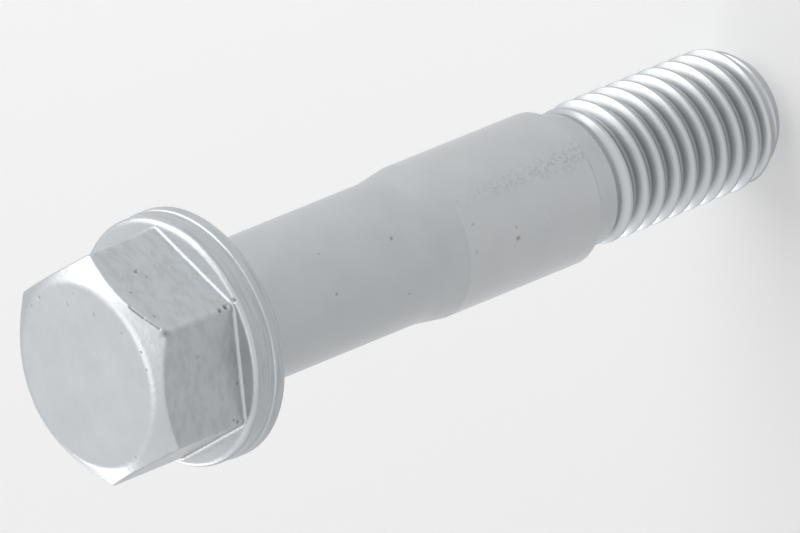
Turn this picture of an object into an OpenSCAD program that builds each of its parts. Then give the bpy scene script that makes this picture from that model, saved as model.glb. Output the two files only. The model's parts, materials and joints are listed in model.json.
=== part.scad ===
// Flanged hexagon bolt with a fitted collar on its shank and a rolled thread.
// It stands on its threaded end, with the axis on Z and the head at the top.

/* [Head] */
// Width across the flats of the hexagon
hex_af = 17; // [14:0.5:17.5]
// Amount by which the corners of the hexagon are rounded off
corner_cut = 0.07; // [0.03:0.01:0.3]
// Height of the head from its bearing face to its top face, flange included
head_h = 11.7; // [8:0.1:16]
// Distance from the hexagon's flats to the edge of the round top face
face_inset = 0.8; // [0.2:0.1:2]
// Slope of the chamfer round the top face
chamfer_angle = 35; // [20:1:40]
// Radius that softens the edge of the top face
face_edge_r = 1.2; // [0.4:0.1:2]

/* [Flange] */
// Diameter of the flange at its bearing face
flange_d = 20.9; // [20.2:0.1:26]
// Thickness of the flange
flange_t = 3.1; // [2.4:0.1:5]
// Radius of the flange's upper edge
rim_r = 0.5; // [0.2:0.1:0.8]
// Height of the lower band of the flange's edge
band_h = 1; // [0.6:0.1:1.5]
// Depth of the step between the two bands of the flange's edge
band_step = 0.12; // [0.05:0.01:0.3]
// Break of the edge round the bearing face
bearing_edge = 0.15; // [0.05:0.05:0.4]

/* [Shank] */
// Length from the bearing face to the threaded end
bolt_l = 60; // [45:1:100]
// Diameter of the plain shank under the head
shank_d = 12.05; // [10:0.05:12.5]
// Radius of the fillet between the shank and the bearing face
fillet_r = 0.6; // [0.3:0.1:1]

/* [Collar] */
// Diameter of the fitted collar
collar_d = 12.95; // [12.2:0.05:15]
// Length of the fitted collar
collar_l = 14.3; // [6:0.1:24]
// Length of the taper from the shank to the collar
taper_l = 3.1; // [1:0.1:6]
// Length of the cone from the collar down to the neck
shoulder_l = 0.6; // [0.2:0.1:2]

/* [Neck] */
// Diameter of the plain neck between the collar and the thread
neck_d = 11.4; // [10:0.05:12]
// Length of the plain neck
neck_l = 1.5; // [1:0.1:5]

/* [Thread] */
// Diameter over the thread's crests
thread_d = 11.95; // [11:0.05:12.5]
// Rise of the thread in one turn
pitch = 1.75; // [1.25:0.25:2]
// Length of the thread from the end, run-out included
thread_l = 19.7; // [10:0.1:30]
// Length over which the thread runs out into the neck
runout_l = 2.4; // [0.8:0.1:4]
// Angle from +X at which the thread's crest leaves the end
thread_start = -85; // [-180:1:180]
// Diameter of the flat threaded end
tip_d = 8.9; // [7:0.1:9.6]
// Length of the rounded taper at the threaded end
tip_l = 3.2; // [1.5:0.1:4]
// Straight segments in one turn of the thread
turn_segments = 48; // [36:4:60]

/* [Hidden] */
$fn = 96;

// The hexagon and the thread reach this far into the solid that carries them
sink = 0.5;
// Radial seat of the thread's last ring inside the neck
seat = 0.03;
// Straight segments in each rounded edge of the turned outline
arc_steps = 6;

collar_r = collar_d / 2;
shank_r = shank_d / 2;
neck_r = neck_d / 2;
flange_r = flange_d / 2;
face_r = hex_af / 2 - face_inset;
corner_r = hex_af / 2 / cos(30) - corner_cut;
chamfer_h = (corner_r - face_r) * tan(chamfer_angle);
head_top = bolt_l + head_h;
edge_run = face_edge_r * tan(chamfer_angle / 2);

// Heights of the shank's changes of diameter, worked up from the threaded end
neck_top = thread_l + neck_l;
collar_end = neck_top + shoulder_l;
collar_start = collar_end + collar_l;
shank_end = collar_start + taper_l;

// Metric thread form: crest an eighth of the pitch, root a quarter, flanks at 30 degrees
crest_w = pitch / 8;
root_w = pitch / 4;
flank_w = (pitch - crest_w - root_w) / 2;
thread_depth = flank_w / tan(30);
crest_r = thread_d / 2;
tip_r = tip_d / 2;
ring_r = neck_r - seat;
thread_top = thread_l + sink;

// Rows of one turn of the thread: height above the turn's start and depth below the crest
rows = [
    [0, 0],
    [crest_w, 0],
    [crest_w + flank_w / 2, thread_depth / 2],
    [crest_w + flank_w, thread_depth],
    [crest_w + flank_w + root_w, thread_depth],
    [crest_w + flank_w * 1.5 + root_w, thread_depth / 2],
];
row_n = len(rows);
last_row = row_n * (ceil(thread_top / pitch) + 1);
// First point of the ring at the neck
neck_ring = turn_segments * (last_row + 2);

function arc(centre, r, from, to) =
    [for (i = [0:arc_steps]) let (a = from + (to - from) * i / arc_steps) centre + r * [cos(a), sin(a)]];

// Height of a point on the thread's grid, one turn below the end for the first row
function grid_z(row, seg) =
    pitch * (floor(row / row_n) - 1 + seg / turn_segments) + rows[row % row_n][0];

// Convex outline of the threaded end
function tip_limit(z) = tip_r + (crest_r - tip_r) * sin(90 * min(z / tip_l, 1));

// Share of the full thread form that is left where the thread runs out
function run_out(z) = min(max((thread_l - z) / runout_l, 0), 1);

// Radius of a point on the thread's grid; in the run-out the crests fade sooner than the grooves
function grid_r(row, z) =
    let (lift = crest_r - rows[row % row_n][1] - ring_r, share = run_out(z))
        min(tip_limit(z), ring_r + lift * (lift > 0 ? share * share : share));

// Points of the thread: a ring at the end, the helical rows, and a ring at the neck
function ring_points(r, z) =
    [for (seg = [0:turn_segments - 1]) let (a = 360 * seg / turn_segments) [r * cos(a), r * sin(a), z]];

function row_points(row) =
    [for (seg = [0:turn_segments - 1])
        let (a = 360 * seg / turn_segments, z = min(max(grid_z(row, seg), 0), thread_top), r = grid_r(row, z))
            [r * cos(a), r * sin(a), z]];

// Index of a grid point; points past either end fall on the ring there
function point_at(row, seg) =
    seg == turn_segments ? point_at(row + row_n, 0)
    : let (z = grid_z(row, seg), margin = pitch / turn_segments / 2)
        z < margin ? seg
        : z > thread_top - margin ? neck_ring + seg
        : turn_segments * (row + 1) + seg;

function facet(a, b, c) = a == b || b == c || a == c ? [] : [[a, b, c]];

function cell(row, seg) =
    let (
        a = point_at(row, seg),
        b = point_at(row, seg + 1),
        c = point_at(row + 1, seg + 1),
        d = point_at(row + 1, seg)
    )
        concat(facet(a, c, b), facet(a, d, c));

module thread_form() {
    rotate([0, 0, thread_start])
        polyhedron(
            points = concat(
                ring_points(tip_r, 0),
                [for (row = [0:last_row]) each row_points(row)],
                ring_points(ring_r, thread_top)
            ),
            faces = concat(
                [[for (seg = [0:turn_segments - 1]) seg]],
                [for (row = [0:last_row - 1], seg = [0:turn_segments - 1]) each cell(row, seg)],
                [[for (seg = [turn_segments - 1:-1:0]) neck_ring + seg]]
            )
        );
}

// Neck, collar, shank and flange as one turned outline, radius and height
module turned_form() {
    rotate_extrude()
        polygon(concat(
            [
                [0, thread_l],
                [neck_r, thread_l],
                [neck_r, neck_top],
                [collar_r, collar_end],
                [collar_r, collar_start],
                [shank_r, shank_end],
            ],
            arc([shank_r + fillet_r, bolt_l - fillet_r], fillet_r, 180, 90),
            [
                [flange_r - bearing_edge, bolt_l],
                [flange_r, bolt_l + bearing_edge],
                [flange_r, bolt_l + band_h],
                [flange_r - band_step, bolt_l + band_h + band_step],
            ],
            arc([flange_r - band_step / 2 - rim_r, bolt_l + flange_t - rim_r], rim_r, 0, 90),
            [[0, bolt_l + flange_t]]
        ));
}

// Hexagon trimmed by a turned outline that rounds its corners and chamfers its top
module hexagon() {
    base = bolt_l + flange_t - sink;
    edge_z = head_top - face_edge_r;
    intersection() {
        translate([0, 0, base])
            cylinder(d = hex_af / cos(30), h = head_top - base, $fn = 6);
        rotate_extrude()
            polygon(concat(
                [[0, base - sink], [corner_r, base - sink], [corner_r, head_top - chamfer_h]],
                arc([face_r - edge_run, edge_z], face_edge_r, 90 - chamfer_angle, 90),
                [[0, head_top]]
            ));
    }
}

module bolt() {
    color("silver") {
        hexagon();
        turned_form();
        thread_form();
    }
}

bolt();
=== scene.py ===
import json
import math

import bmesh
import bpy
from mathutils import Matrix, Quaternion, Vector


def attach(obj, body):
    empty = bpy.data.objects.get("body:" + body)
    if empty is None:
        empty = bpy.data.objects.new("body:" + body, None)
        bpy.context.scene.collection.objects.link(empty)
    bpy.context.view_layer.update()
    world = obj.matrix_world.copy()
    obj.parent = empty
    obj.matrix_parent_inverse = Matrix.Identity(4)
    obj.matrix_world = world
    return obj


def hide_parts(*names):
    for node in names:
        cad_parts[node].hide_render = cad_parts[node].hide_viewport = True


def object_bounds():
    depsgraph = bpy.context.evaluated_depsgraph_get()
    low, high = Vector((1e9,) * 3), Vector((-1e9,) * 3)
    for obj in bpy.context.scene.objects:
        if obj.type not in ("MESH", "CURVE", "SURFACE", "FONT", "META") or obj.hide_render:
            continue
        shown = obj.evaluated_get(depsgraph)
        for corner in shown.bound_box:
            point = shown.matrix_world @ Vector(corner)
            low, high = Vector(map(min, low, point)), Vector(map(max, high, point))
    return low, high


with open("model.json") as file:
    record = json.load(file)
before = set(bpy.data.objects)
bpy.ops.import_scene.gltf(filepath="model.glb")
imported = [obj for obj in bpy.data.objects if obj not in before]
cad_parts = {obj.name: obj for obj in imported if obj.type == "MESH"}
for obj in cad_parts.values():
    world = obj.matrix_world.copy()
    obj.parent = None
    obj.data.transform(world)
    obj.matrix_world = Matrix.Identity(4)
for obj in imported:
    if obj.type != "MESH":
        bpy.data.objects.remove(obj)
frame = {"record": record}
cad_low, cad_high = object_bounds()

# Sizes in millimetres; what the frame states is read from it
MM = 0.001
mounts = {mount["name"]: mount for mount in frame["record"]["mounts"]}

head_top = cad_high.z / MM
flange_r = min(cad_high.x, cad_high.y) / MM
bolt_l = mounts["bearing_face"]["pos_m"][2] / MM
collar_r = mounts["fit_collar"]["dims"]["r_mm"]
collar_l = mounts["fit_collar"]["dims"]["length_mm"]
collar_middle = mounts["fit_collar"]["pos_m"][2] / MM
crest_r = mounts["thread"]["dims"]["r_mm"]
thread_l = mounts["thread"]["dims"]["length_mm"]

# Head: half the width across flats, rounded corners, chamfer and the round top face
hex_sides = 6
flat_r = 8.5
corner_edge_r = 0.45
face_r = 7.7
face_edge_r = 1.2
chamfer_angle = math.radians(35)
chamfer_edge_r = 0.4
# Fillet at the hexagon's foot, and the share of the flange's ledge beside it that it may take up
foot_fillet_r = 0.3
foot_room = 0.9

# Flange: thickness, upper edge, the two bands of its rim and the edge of its bearing face
flange_t = 3.1
rim_r = 0.5
band_h = 1.0
band_step = 0.12
band_foot_r = 0.08
band_edge_r = 0.05
bearing_edge = 0.15
bearing_edge_r = 0.1
flange_top = bolt_l + flange_t
upper_band_r = flange_r - band_step / 2

# Shank, collar and neck, with the radii that soften their edges
shank_r = 6.025
shank_fillet_r = 0.6
taper_l = 3.1
taper_blend_r = 6
collar_blend_r = 0.4
collar_edge_r = 0.1
shoulder_l = 0.6
neck_r = 5.7
neck_fillet_r = 0.25
collar_end = collar_middle - collar_l / 2
collar_start = collar_middle + collar_l / 2
shank_end = collar_start + taper_l
neck_top = collar_end - shoulder_l

# Thread: metric form with rolled, rounded roots
pitch = 1.75
crest_w = pitch / 8
root_w = pitch / 4
flank_w = (pitch - crest_w - root_w) / 2
root_r = crest_r - flank_w / math.tan(math.radians(30))
crest_edge_r = 0.08
root_edge_r = 0.25
thread_start = math.radians(-85)
runout_l = 2.4
ring_seat = 0.03
ring_r = neck_r - ring_seat
tip_r = 4.45
tip_l = 3.2
tip_blend = 0.12
# The thread's mesh ends and the neck's begins at these heights, with a strip of faces between them
thread_trim = thread_l + 0.2
neck_trim = thread_l + 0.5

# Fineness of the mesh: columns round the bolt, how strongly they crowd to the hexagon's corners, how far
# from an edge the row lies that holds its shading, and the distance within which points are joined
COLUMNS = 240
CORNER_CROWDING = 0.85
SUPPORT = 0.06
WELD = 0.001
# Steps in a turn of the thread, and turns swept past each end before it is trimmed
TURN_STEPS = 120
SPARE_TURNS = 2
# Cuts that a dent makes in each edge near it, and, as multiples of its size, how near those edges start and
# how far past its length the mesh is searched
DENT_CUTS = 4
DENT_NEAR = 1.5
DENT_SEARCH = 3


def rounded(corners):
    """Points along an outline of corners (radius, height, edge radius, arc steps, run steps).

    A corner with an edge radius becomes an arc. The straight run after a corner is cut in run steps, with a
    row close to each end, so that the shading of a flat stops at its edge.
    """
    places = [Vector(corner[:2]) for corner in corners]
    points, run_steps = [], 0
    for i, (_, _, edge_r, arc_steps, next_steps) in enumerate(corners):
        here = places[i]
        arc = [here]
        if edge_r:
            back = (places[i - 1] - here).normalized()
            onward = (places[i + 1] - here).normalized()
            half = back.angle(onward) / 2
            centre = here + (back + onward).normalized() * edge_r / math.sin(half)
            start = here + back * edge_r / math.tan(half) - centre
            end = here + onward * edge_r / math.tan(half) - centre
            turn = [start.slerp(end, step / arc_steps) for step in range(arc_steps + 1)]
            arc = [centre + spoke.normalized() * edge_r for spoke in turn]
        if points:
            last = points[-1]
            close = min(SUPPORT / (arc[0] - last).length, 0.5 / run_steps)
            shares = [close, *(step / run_steps for step in range(1, run_steps)), 1 - close]
            points += [last.lerp(arc[0], share) for share in shares]
        points += arc
        run_steps = next_steps
    return points


def hexagon_r(angle):
    """Distance from the axis to the hexagon's wall; a corner points along +X."""
    side_turn = math.tau / hex_sides
    half_turn = side_turn / 2
    turn = abs((angle + half_turn) % side_turn - half_turn)
    centre_r = (flat_r - corner_edge_r) / math.cos(half_turn)
    arc_end = math.atan2(
        corner_edge_r * math.sin(half_turn), centre_r + corner_edge_r * math.cos(half_turn)
    )
    if turn > arc_end:
        return flat_r / math.cos(half_turn - turn)
    return centre_r * math.cos(turn) + math.sqrt(corner_edge_r**2 - (centre_r * math.sin(turn)) ** 2)


def chamfer_z(wall_r):
    """Height at which the chamfer meets a wall that is wall_r from the axis."""
    return head_top - (wall_r - face_r) * math.tan(chamfer_angle)


def turned_r(z):
    """Radius of the shank, the taper and the collar."""
    return shank_r + (collar_r - shank_r) * min(max((shank_end - z) / taper_l, 0), 1)


def bolt_outline(wall_r):
    """Outline from the middle of the top face down to the neck, where the hexagon's wall is wall_r out."""
    foot_r = min(foot_fillet_r, foot_room * (upper_band_r - rim_r - wall_r))
    return rounded([
        (0, head_top, 0, 0, 14),
        (face_r, head_top, face_edge_r, 5, 3),
        (wall_r, chamfer_z(wall_r), chamfer_edge_r, 6, 22),
        (wall_r, flange_top, foot_r, 5, 2),
        (upper_band_r, flange_top, rim_r, 6, 4),
        (flange_r - band_step, bolt_l + band_h + band_step, band_foot_r, 2, 1),
        (flange_r, bolt_l + band_h, band_edge_r, 2, 2),
        (flange_r, bolt_l + bearing_edge, bearing_edge_r, 2, 1),
        (flange_r - bearing_edge, bolt_l, bearing_edge_r, 2, 5),
        (shank_r, bolt_l, shank_fillet_r, 6, 36),
        (shank_r, shank_end, taper_blend_r, 3, 5),
        (collar_r, collar_start, collar_blend_r, 3, 26),
        (collar_r, collar_end, collar_edge_r, 3, 1),
        (neck_r, neck_top, neck_fillet_r, 3, 3),
        (neck_r, neck_trim, 0, 0, 0),
    ])


def chain(bm, points):
    """A line of vertices and edges through the points."""
    verts = [bm.verts.new(point) for point in points]
    edges = [bm.edges.new(pair) for pair in zip(verts, verts[1:])]
    return verts + edges


def turn_head_and_shank(bm):
    """Spins the outline about the axis, then draws each column in to the hexagon's wall at its angle."""
    row_of = bm.verts.layers.int.new("row")
    profile = chain(bm, [(r, 0, z) for r, z in bolt_outline(hexagon_r(0))])
    for row, vert in enumerate(element for element in profile if isinstance(element, bmesh.types.BMVert)):
        vert[row_of] = row
    bmesh.ops.spin(
        bm, geom=profile, cent=(0, 0, 0), axis=(0, 0, 1), angle=math.tau, steps=COLUMNS, use_merge=True
    )
    columns = []
    for column in range(COLUMNS):
        even = math.tau * column / COLUMNS
        angle = even - CORNER_CROWDING * math.sin(hex_sides * even) / hex_sides
        columns.append((angle, bolt_outline(hexagon_r(angle))))
    for vert in bm.verts:
        column = round(math.atan2(vert.co.y, vert.co.x) / math.tau * COLUMNS) % COLUMNS
        angle, outline = columns[column]
        r, z = outline[vert[row_of]]
        vert.co = (r * math.cos(angle), r * math.sin(angle), z)
    bmesh.ops.remove_doubles(bm, verts=bm.verts[:], dist=WELD)
    bm.verts.layers.int.remove(bm.verts.layers.int["row"])


def place(angle, r, z):
    """A point at an angle in degrees from +X."""
    return Vector((r * math.cos(math.radians(angle)), r * math.sin(math.radians(angle)), z))


def on_wall(angle, z):
    """A point on the hexagon's wall."""
    return place(angle, hexagon_r(math.radians(angle)), z)


def on_chamfer_edge(angle):
    """A point on the edge between the hexagon's wall and the chamfer."""
    return on_wall(angle, chamfer_z(hexagon_r(math.radians(angle))))


def on_shank(angle, z):
    """A point on the shank, the taper or the collar."""
    return place(angle, turned_r(z), z)


def dent(bm, start, end, size, depth, cuts=DENT_CUTS):
    """Presses a groove from start to end into the surface and marks it for the finish."""
    line = end - start

    def away(point):
        share = (point - start).dot(line) / max(line.length_squared, WELD)
        return (point - start - line * min(max(share, 0), 1)).length

    reach = line.length + size * DENT_SEARCH
    region = [vert for vert in bm.verts if (vert.co - start).length < reach]
    near = [vert for vert in region if away(vert.co) < size * DENT_NEAR]
    edges = list(dict.fromkeys(edge for vert in near for edge in vert.link_edges))
    made = bmesh.ops.subdivide_edges(bm, edges=edges, cuts=cuts, use_grid_fill=True)
    for vert in made["geom_inner"]:
        if isinstance(vert, bmesh.types.BMVert) and vert.co.z < bolt_l - shank_fillet_r:
            vert.co.xy = vert.co.xy.normalized() * turned_r(vert.co.z)
    bm.normal_update()
    marks = bm.verts.layers.float["pit"]
    region = [vert for vert in bm.verts if (vert.co - start).length < reach]
    for vert in [vert for vert in region if away(vert.co) < size]:
        fall = (1 - (away(vert.co) / size) ** 2) ** 2
        vert[marks] = max(vert[marks], fall)
        vert.co -= vert.normal * depth * fall


def pit(bm, spot, size, depth, cuts=DENT_CUTS):
    """Presses a round pit."""
    dent(bm, spot, spot, size, depth, cuts)


def wear(bm):
    """Presses in the marks of use, each with its place, its size and its depth."""
    bm.verts.layers.float.new("pit")
    # Pits in the flats and nicks in the hexagon's edges, by angle and height
    for angle, z, size, depth in (
        (41.1, 67.9, 0.28, 0.1), (29.8, 69.9, 0.2, 0.05), (35.7, 67.5, 0.18, 0.05), (10.7, 69.9, 0.18, 0.05),
        (-17.3, 67.3, 0.2, 0.05), (-40, 63.5, 0.2, 0.05), (-57, 64.3, 0.2, 0.04), (-58.5, 63.9, 0.22, 0.05),
        (0.4, 64.4, 0.3, 0.12), (1.1, 63.7, 0.34, 0.16), (-119.5, 68, 0.3, 0.1),
    ):
        pit(bm, on_wall(angle, z), size, depth)
    # Pits in the top face and its edge, by angle and distance from the axis
    for angle, r, size, depth in (
        (101.2, 7.45, 0.24, 0.07), (111.8, 7.6, 0.18, 0.04), (66, 6.9, 0.16, 0.04), (74.4, 6, 0.17, 0.04),
        (43.7, 5.76, 0.16, 0.04), (15.1, 6.56, 0.2, 0.05), (-3.4, 7.6, 0.17, 0.03), (-14.5, 7.5, 0.15, 0.03),
        (-80.3, 7.6, 0.17, 0.03),
    ):
        pit(bm, place(angle, r, head_top), size, depth, cuts=3)
    # A notch in the flange
    pit(bm, place(2, 10.1, flange_top), 0.3, 0.1)
    # Pits in the shank and the collar, by angle and height
    for angle, z, size, depth in (
        (5.1, 42.9, 0.26, 0.08), (-41, 42.5, 0.2, 0.06), (-18.5, 50.1, 0.18, 0.05), (20.4, 42, 0.16, 0.04),
        (15.5, 50, 0.14, 0.04), (-30.2, 30.9, 0.3, 0.1), (-21.2, 30.9, 0.2, 0.05), (-28.2, 35.4, 0.2, 0.05),
        (-8, 35.2, 0.18, 0.05),
    ):
        pit(bm, on_shank(angle, z), size, depth)
    # A peened stretch of the chamfer's edge that ends in a rounded corner, where the columns already crowd
    dent(bm, on_chamfer_edge(21.6), on_chamfer_edge(12.5), 0.22, 0.08)
    dent(bm, on_chamfer_edge(12.3), on_chamfer_edge(3.5), 0.16, 0.05, cuts=2)
    pit(bm, on_chamfer_edge(0), 0.5, 0.14, cuts=1)


def roll_thread():
    """Sweeps one pitch of the thread up its helix and trims it to the end and to the neck."""
    bm = bmesh.new()
    groove = rounded([
        (crest_r, 0, 0, 0, 1),
        (crest_r, crest_w / 2, crest_edge_r, 2, 2),
        (root_r, crest_w / 2 + flank_w, root_edge_r, 3, 1),
        (root_r, crest_w / 2 + flank_w + root_w, root_edge_r, 3, 2),
        (crest_r, pitch - crest_w / 2, crest_edge_r, 2, 1),
        (crest_r, pitch, 0, 0, 0),
    ])
    first_z = crest_w / 2 - SPARE_TURNS * pitch
    turns = math.ceil(thread_l / pitch) + 2 * SPARE_TURNS
    profile = chain(bm, [
        (r * math.cos(thread_start), r * math.sin(thread_start), first_z + rise) for r, rise in groove
    ])
    bmesh.ops.spin(
        bm, geom=profile, cent=(0, 0, 0), axis=(0, 0, 1), dvec=(0, 0, pitch / TURN_STEPS),
        angle=math.tau, steps=TURN_STEPS,
    )
    one_turn = bm.verts[:] + bm.edges[:] + bm.faces[:]
    for turn in range(1, turns):
        copy = bmesh.ops.duplicate(bm, geom=one_turn)["geom"]
        verts = [element for element in copy if isinstance(element, bmesh.types.BMVert)]
        bmesh.ops.translate(bm, vec=(0, 0, pitch * turn), verts=verts)
    bmesh.ops.remove_doubles(bm, verts=bm.verts[:], dist=WELD)
    for height, side in ((0, "clear_inner"), (thread_trim, "clear_outer")):
        bmesh.ops.bisect_plane(
            bm, geom=bm.verts[:] + bm.edges[:] + bm.faces[:], dist=WELD,
            plane_co=(0, 0, height), plane_no=(0, 0, 1), **{side: True},
        )
    # Crests fade into the neck before the grooves do, and the rounded end blends into the thread
    for vert in bm.verts:
        r, z = vert.co.xy.length, max(vert.co.z, 0)
        share = min(max((thread_l - z) / runout_l, 0), 1)
        r = ring_r + (r - ring_r) * (share**2 if r > ring_r else share)
        limit = tip_r + (crest_r - tip_r) * math.sin(math.pi / 2 * min(z / tip_l, 1))
        overlap = max(tip_blend - abs(r - limit), 0)
        r = min(r, limit) - overlap**2 / tip_blend / 4
        vert.co = (*vert.co.xy.normalized() * r, z)
    rim = [edge for edge in bm.edges if edge.is_boundary and max(vert.co.z for vert in edge.verts) < WELD]
    end_face = bmesh.ops.edgeloop_fill(bm, edges=rim)["faces"]
    bmesh.ops.inset_region(bm, faces=end_face, thickness=SUPPORT, use_even_offset=True)
    for edge in rim:
        edge.smooth = False
    mesh = bpy.data.meshes.new("thread")
    bm.to_mesh(mesh)
    bm.free()
    return mesh


def forge_bolt():
    """The whole bolt as one closed skin."""
    bm = bmesh.new()
    turn_head_and_shank(bm)
    wear(bm)
    thread = roll_thread()
    bm.from_mesh(thread)
    bpy.data.meshes.remove(thread)
    open_edges = [edge for edge in bm.edges if edge.is_boundary]
    bmesh.ops.bridge_loops(bm, edges=open_edges)
    bmesh.ops.recalc_face_normals(bm, faces=bm.faces[:])
    for face in bm.faces:
        face.smooth = True
    bmesh.ops.scale(bm, vec=(MM, MM, MM), verts=bm.verts[:])
    mesh = bpy.data.meshes.new("forged_bolt")
    bm.to_mesh(mesh)
    bm.free()
    piece = bpy.data.objects.new("forged_bolt", mesh)
    bpy.context.scene.collection.objects.link(piece)
    return piece


def linear(hex_colour):
    """An sRGB hex colour as linear red, green, blue and alpha."""
    parts = [int(hex_colour[i:i + 2], 16) / 255 for i in (1, 3, 5)]
    return (*(c / 12.92 if c <= 0.04045 else ((c + 0.055) / 1.055) ** 2.4 for c in parts), 1)


def add_node(tree, kind, inputs=(), output=0, **settings):
    """Adds a node with its properties, gives its inputs values or links, and returns one of its outputs."""
    made = tree.nodes.new(kind)
    for name, value in settings.items():
        setattr(made, name, value)
    for socket, value in dict(inputs).items():
        if isinstance(value, bpy.types.NodeSocket):
            tree.links.new(value, made.inputs[socket])
        else:
            made.inputs[socket].default_value = value
    return made.outputs[output]


# Distances from the axis, in millimetres, at which the rub on the hexagon's corners and the dull finish and
# painted shade of the thread's roots start and are full, and the height at which that finish and shade start
CORNER_RUB = (9.4, 9.72)
ROOT_DULL_AND_SHADE = (5.6, 5.1)
ROOT_DULL_AND_SHADE_Z = 1.5
# Scuff down the fitted collar, in radians round the axis: its angle from +X, its half widths at the collar's
# lower end where it starts and is full, and how much narrower it gets with each millimetre of height
SCUFF_ANGLE = 0.18
SCUFF_REACH = 0.29
SCUFF_CORE = 0.05
SCUFF_NARROWING = 0.013


def zinc_plated_steel():
    """Bright zinc plate on forged steel, which gives the eye a satin, faintly blue silver.

    The plate has a faint peel over the head and follows what is under it: the uneven skin of the forging on
    the flats, the lines of the press round the flange, and fine drawn lines down the shank. Pits are dull and
    darker; the thread's roots are dull, and their darker tone is painted shade. The hexagon's corners are
    rubbed smooth, and the fitted collar is ground brighter, with a scuff down it.
    """
    material = bpy.data.materials.new("zinc_plated_steel")
    material.use_nodes = True
    tree = material.node_tree
    shader = tree.nodes["Principled BSDF"]
    shader.inputs["Metallic"].default_value = 1

    # Place on the bolt in millimetres, and as height, distance from the axis and angle round it
    per_mm = (1 / MM, 1 / MM, 1 / MM)
    spot = add_node(tree, "ShaderNodeTexCoord", output="Object")
    spot = add_node(tree, "ShaderNodeVectorMath", {0: spot, 1: per_mm}, operation="MULTIPLY")
    parts = add_node(tree, "ShaderNodeSeparateXYZ", {0: spot}).node.outputs
    height = parts["Z"]
    around = add_node(tree, "ShaderNodeMath", {0: parts["Y"], 1: parts["X"]}, operation="ARCTAN2")
    across = add_node(tree, "ShaderNodeVectorMath", {0: spot, 1: (1, 1, 0)}, operation="MULTIPLY")
    across = add_node(tree, "ShaderNodeVectorMath", {0: across}, output="Value", operation="LENGTH")
    # Angle from the middle of the scuff, made greater with height so that the scuff narrows upwards
    scuff = add_node(tree, "ShaderNodeMath", {0: around, 1: SCUFF_ANGLE}, operation="SUBTRACT")
    scuff = add_node(tree, "ShaderNodeMath", {0: scuff}, operation="ABSOLUTE")
    above = add_node(tree, "ShaderNodeMath", {0: height, 1: collar_end}, operation="SUBTRACT")
    scuff = add_node(
        tree, "ShaderNodeMath", {0: above, 1: SCUFF_NARROWING, 2: scuff}, operation="MULTIPLY_ADD"
    )

    # Grain of each pattern in millimetres, how far it is drawn out along X, Y and Z, and its detail. Real
    # press lines and drawn lines are too fine to show, so both are made as coarse as they need to be
    pattern = {}
    for name, grain, draw_out, detail in (
        ("cloud", 3.2, (1, 1, 1), 3),
        ("skin", 0.7, (2, 2, 1), 3),
        ("peel", 0.5, (1, 1, 1), 2),
        ("mottle", 0.3, (1, 1, 1), 3),
        ("press", 0.16, (30, 30, 1), 2),
        ("drawn", 0.22, (1, 1, 60), 2),
    ):
        scale = tuple(1 / (grain * factor) for factor in draw_out)
        grid = add_node(tree, "ShaderNodeMapping", {"Vector": spot, "Scale": scale})
        pattern[name] = add_node(tree, "ShaderNodeTexNoise", {
            "Vector": grid, "Scale": 1, "Detail": detail, "Roughness": 0.55,
        })

    # Shares from 0 to 1, each between the values of its measure where it starts and where it is full
    share = {"pit": add_node(tree, "ShaderNodeAttribute", output="Fac", attribute_name="pit")}
    for name, measure, none_at, full_at in (
        ("head", height, bolt_l - 0.1, bolt_l + 0.2),
        ("hexagon", height, flange_top, flange_top + 0.4),
        ("under_chamfer", height, head_top - 0.3, head_top - 1.2),
        ("rim", across, flange_r - 0.4, flange_r - 0.15),
        ("corner", across, *CORNER_RUB),
        ("shank", height, bolt_l - 0.2, bolt_l - 0.8),
        ("thread", height, thread_l + 0.2, thread_l - 0.4),
        ("past_tip", height, ROOT_DULL_AND_SHADE_Z, tip_l),
        ("root", across, *ROOT_DULL_AND_SHADE),
        ("over_shoulder", height, collar_end, collar_end + 0.1),
        ("under_taper", height, collar_start + 0.1, collar_start),
        ("scuff", scuff, SCUFF_REACH, SCUFF_CORE),
        ("blotch", pattern["mottle"], 0.5, 0.6),
        ("patch", pattern["skin"], 0.45, 0.6),
        ("line", pattern["press"], 0.5, 0.62),
    ):
        share[name] = add_node(tree, "ShaderNodeMapRange", {
            "Value": measure, "From Min": none_at, "From Max": full_at,
        })
    for name, factors in (
        ("root", ("root", "thread", "past_tip")),
        ("corner", ("corner", "hexagon")),
        ("ground", ("over_shoulder", "under_taper")),
        ("scuff", ("scuff", "blotch", "ground")),
        ("flats", ("hexagon", "under_chamfer")),
        ("patch", ("patch", "flats")),
        ("line", ("line", "rim", "head")),
    ):
        product = share[factors[0]]
        for factor in factors[1:]:
            product = add_node(tree, "ShaderNodeMath", {0: product, 1: share[factor]}, operation="MULTIPLY")
        share[name] = product

    # Tones laid over the plain plate, each with its share and its strength
    colour = linear("#B9BCBF")
    for measure, strength, tone in (
        (pattern["cloud"], 1, "#C5C8CA"),
        (share["ground"], 0.22, "#CFD1D3"),
        (share["patch"], 0.25, "#9B9FA2"),
        (share["line"], 0.3, "#8B8F93"),
        # The darker tone in the thread's roots is painted shade in the grooves; their added roughness is the
        # dull finish
        (share["root"], 0.55, "#63676B"),
        (share["scuff"], 0.28, "#83878B"),
        (share["pit"], 0.6, "#5A5D60"),
    ):
        amount = add_node(tree, "ShaderNodeMath", {0: measure, 1: strength}, operation="MULTIPLY")
        colour = add_node(tree, "ShaderNodeMixRGB", {"Fac": amount, "Color1": colour, "Color2": linear(tone)})
    tree.links.new(colour, shader.inputs["Base Color"])

    # Changes of the plain plate's roughness
    roughness = 0.27
    for measure, change in (
        (pattern["cloud"], 0.1), (share["head"], 0.04), (share["ground"], -0.03), (share["corner"], -0.1),
        (share["root"], 0.12), (share["scuff"], 0.15), (share["pit"], 0.2),
    ):
        roughness = add_node(
            tree, "ShaderNodeMath", {0: measure, 1: change, 2: roughness}, operation="MULTIPLY_ADD"
        )
    tree.links.new(roughness, shader.inputs["Roughness"])

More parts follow.
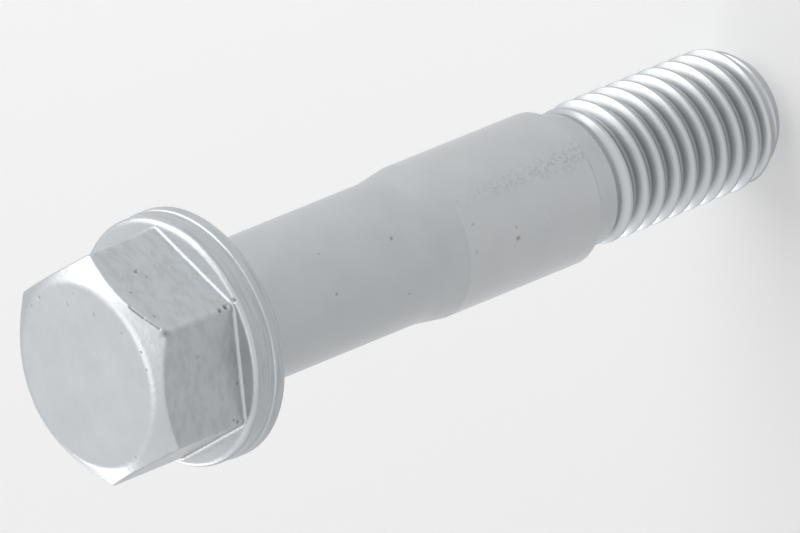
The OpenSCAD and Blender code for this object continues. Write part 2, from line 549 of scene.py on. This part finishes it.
    # Height of the relief in millimetres
    relief = 0.0
    for name, region, depth in (
        ("peel", "head", 0.03), ("press", "rim", 0.02), ("skin", "flats", 0.045), ("drawn", "shank", 0.006),
        ("mottle", "scuff", 0.005),
    ):
        raised = add_node(tree, "ShaderNodeMath", {0: pattern[name], 1: share[region]}, operation="MULTIPLY")
        relief = add_node(tree, "ShaderNodeMath", {0: raised, 1: depth, 2: relief}, operation="MULTIPLY_ADD")
    bump = add_node(tree, "ShaderNodeBump", {"Height": relief, "Distance": MM})
    tree.links.new(bump, shader.inputs["Normal"])
    return material


# Studio: half the floor's width in metres, brightness that the floor adds for the eye, and strength of the
# even fill; each lamp has its azimuth and elevation in degrees, reach, width and height in metres, and watts
FLOOR_REACH = 3
FLOOR_LIFT = 0.32
FILL_LIGHT = 0.2
SOFTBOXES = (
    ("top_softbox", 150, 78, 1.0, 0.7, 0.7, 1.5),
    ("key_softbox", 92, 32, 0.27, 0.38, 0.3, 0.48),
    ("rim_softbox", -160, 14, 0.5, 0.16, 0.2, 0.3),
)


def white_to_the_eye(tree):
    """Share of 1 for rays from the camera, a reflection or glass, and of 0 for rays that only carry light."""
    path = add_node(tree, "ShaderNodeLightPath").node.outputs
    seen = path["Is Camera Ray"]
    for kind in ("Is Glossy Ray", "Is Transmission Ray"):
        seen = add_node(tree, "ShaderNodeMath", {0: seen, 1: path[kind]}, operation="MAXIMUM")
    return seen


def matt_white_paint():
    """Matt emulsion on the floor: an even white that the eye sees a little brighter than its light."""
    paint = bpy.data.materials.new("matt_white_paint")
    paint.use_nodes = True
    tree = paint.node_tree
    shader = tree.nodes["Principled BSDF"]
    shader.inputs["Base Color"].default_value = linear("#F0F0F0")
    shader.inputs["Roughness"].default_value = 0.9
    shader.inputs["Emission Color"].default_value = (1, 1, 1, 1)
    glow = add_node(tree, "ShaderNodeMath", {0: white_to_the_eye(tree), 1: FLOOR_LIFT}, operation="MULTIPLY")
    tree.links.new(glow, shader.inputs["Emission Strength"])
    return paint


def floor_and_light():
    """A pale floor, a white surround and soft lamps."""
    bm = bmesh.new()
    bmesh.ops.create_grid(bm, x_segments=1, y_segments=1, size=FLOOR_REACH)
    mesh = bpy.data.meshes.new("floor")
    bm.to_mesh(mesh)
    bm.free()
    floor = bpy.data.objects.new("floor", mesh)
    bpy.context.scene.collection.objects.link(floor)
    mesh.materials.append(matt_white_paint())

    world = bpy.data.worlds.new("white_studio")
    world.use_nodes = True
    bpy.context.scene.world = world
    tree = world.node_tree
    level = add_node(tree, "ShaderNodeMapRange", {
        "Value": white_to_the_eye(tree), "To Min": FILL_LIGHT, "To Max": 1,
    })
    background = tree.nodes["Background"]
    background.inputs["Color"].default_value = (1, 1, 1, 1)
    tree.links.new(level, background.inputs["Strength"])

    middle = Vector((0, 0, head_top / 2 * MM))
    for name, azimuth, elevation, reach, width, height, power in SOFTBOXES:
        lamp = bpy.data.lights.new(name, "AREA")
        lamp.shape = "RECTANGLE"
        lamp.size = width
        lamp.size_y = height
        lamp.energy = power
        holder = bpy.data.objects.new(name, lamp)
        side = place(azimuth, math.cos(math.radians(elevation)), math.sin(math.radians(elevation)))
        holder.location = middle + side * reach
        holder.rotation_mode = "QUATERNION"
        holder.rotation_quaternion = side.to_track_quat("Z", "Y")
        bpy.context.scene.collection.objects.link(holder)


# The photograph's view: degrees round from +X, above the floor and of roll, then the point aimed at, the
# distance from it and the lens in millimetres
VIEW_AZIMUTH = -4.36
VIEW_ELEVATION = 38.06
VIEW_ROLL = -112.21
VIEW_AIM = Vector((10.18, -2.1, 46.61))
VIEW_DISTANCE = 1759.6
VIEW_LENS = 1000


def photo_camera():
    """A long lens at the photograph's angle."""
    camera = bpy.data.cameras.new("photo_camera")
    camera.lens = VIEW_LENS
    camera.sensor_width = 36
    camera.clip_start = 0.1
    camera.clip_end = 20
    holder = bpy.data.objects.new("photo_camera", camera)
    azimuth, elevation = math.radians(VIEW_AZIMUTH), math.radians(VIEW_ELEVATION)
    back = Vector((
        math.cos(elevation) * math.cos(azimuth), math.cos(elevation) * math.sin(azimuth), math.sin(elevation)
    ))
    holder.location = (VIEW_AIM + back * VIEW_DISTANCE) * MM
    holder.rotation_mode = "QUATERNION"
    upright = (-back).to_track_quat("-Z", "Y")
    holder.rotation_quaternion = upright @ Quaternion((0, 0, 1), math.radians(VIEW_ROLL))
    bpy.context.scene.collection.objects.link(holder)
    bpy.context.scene.camera = holder


bolt = forge_bolt()
bolt.data.materials.append(zinc_plated_steel())
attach(bolt, "root")
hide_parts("bolt")

floor_and_light()
photo_camera()
bpy.context.scene.view_settings.view_transform = "Standard"
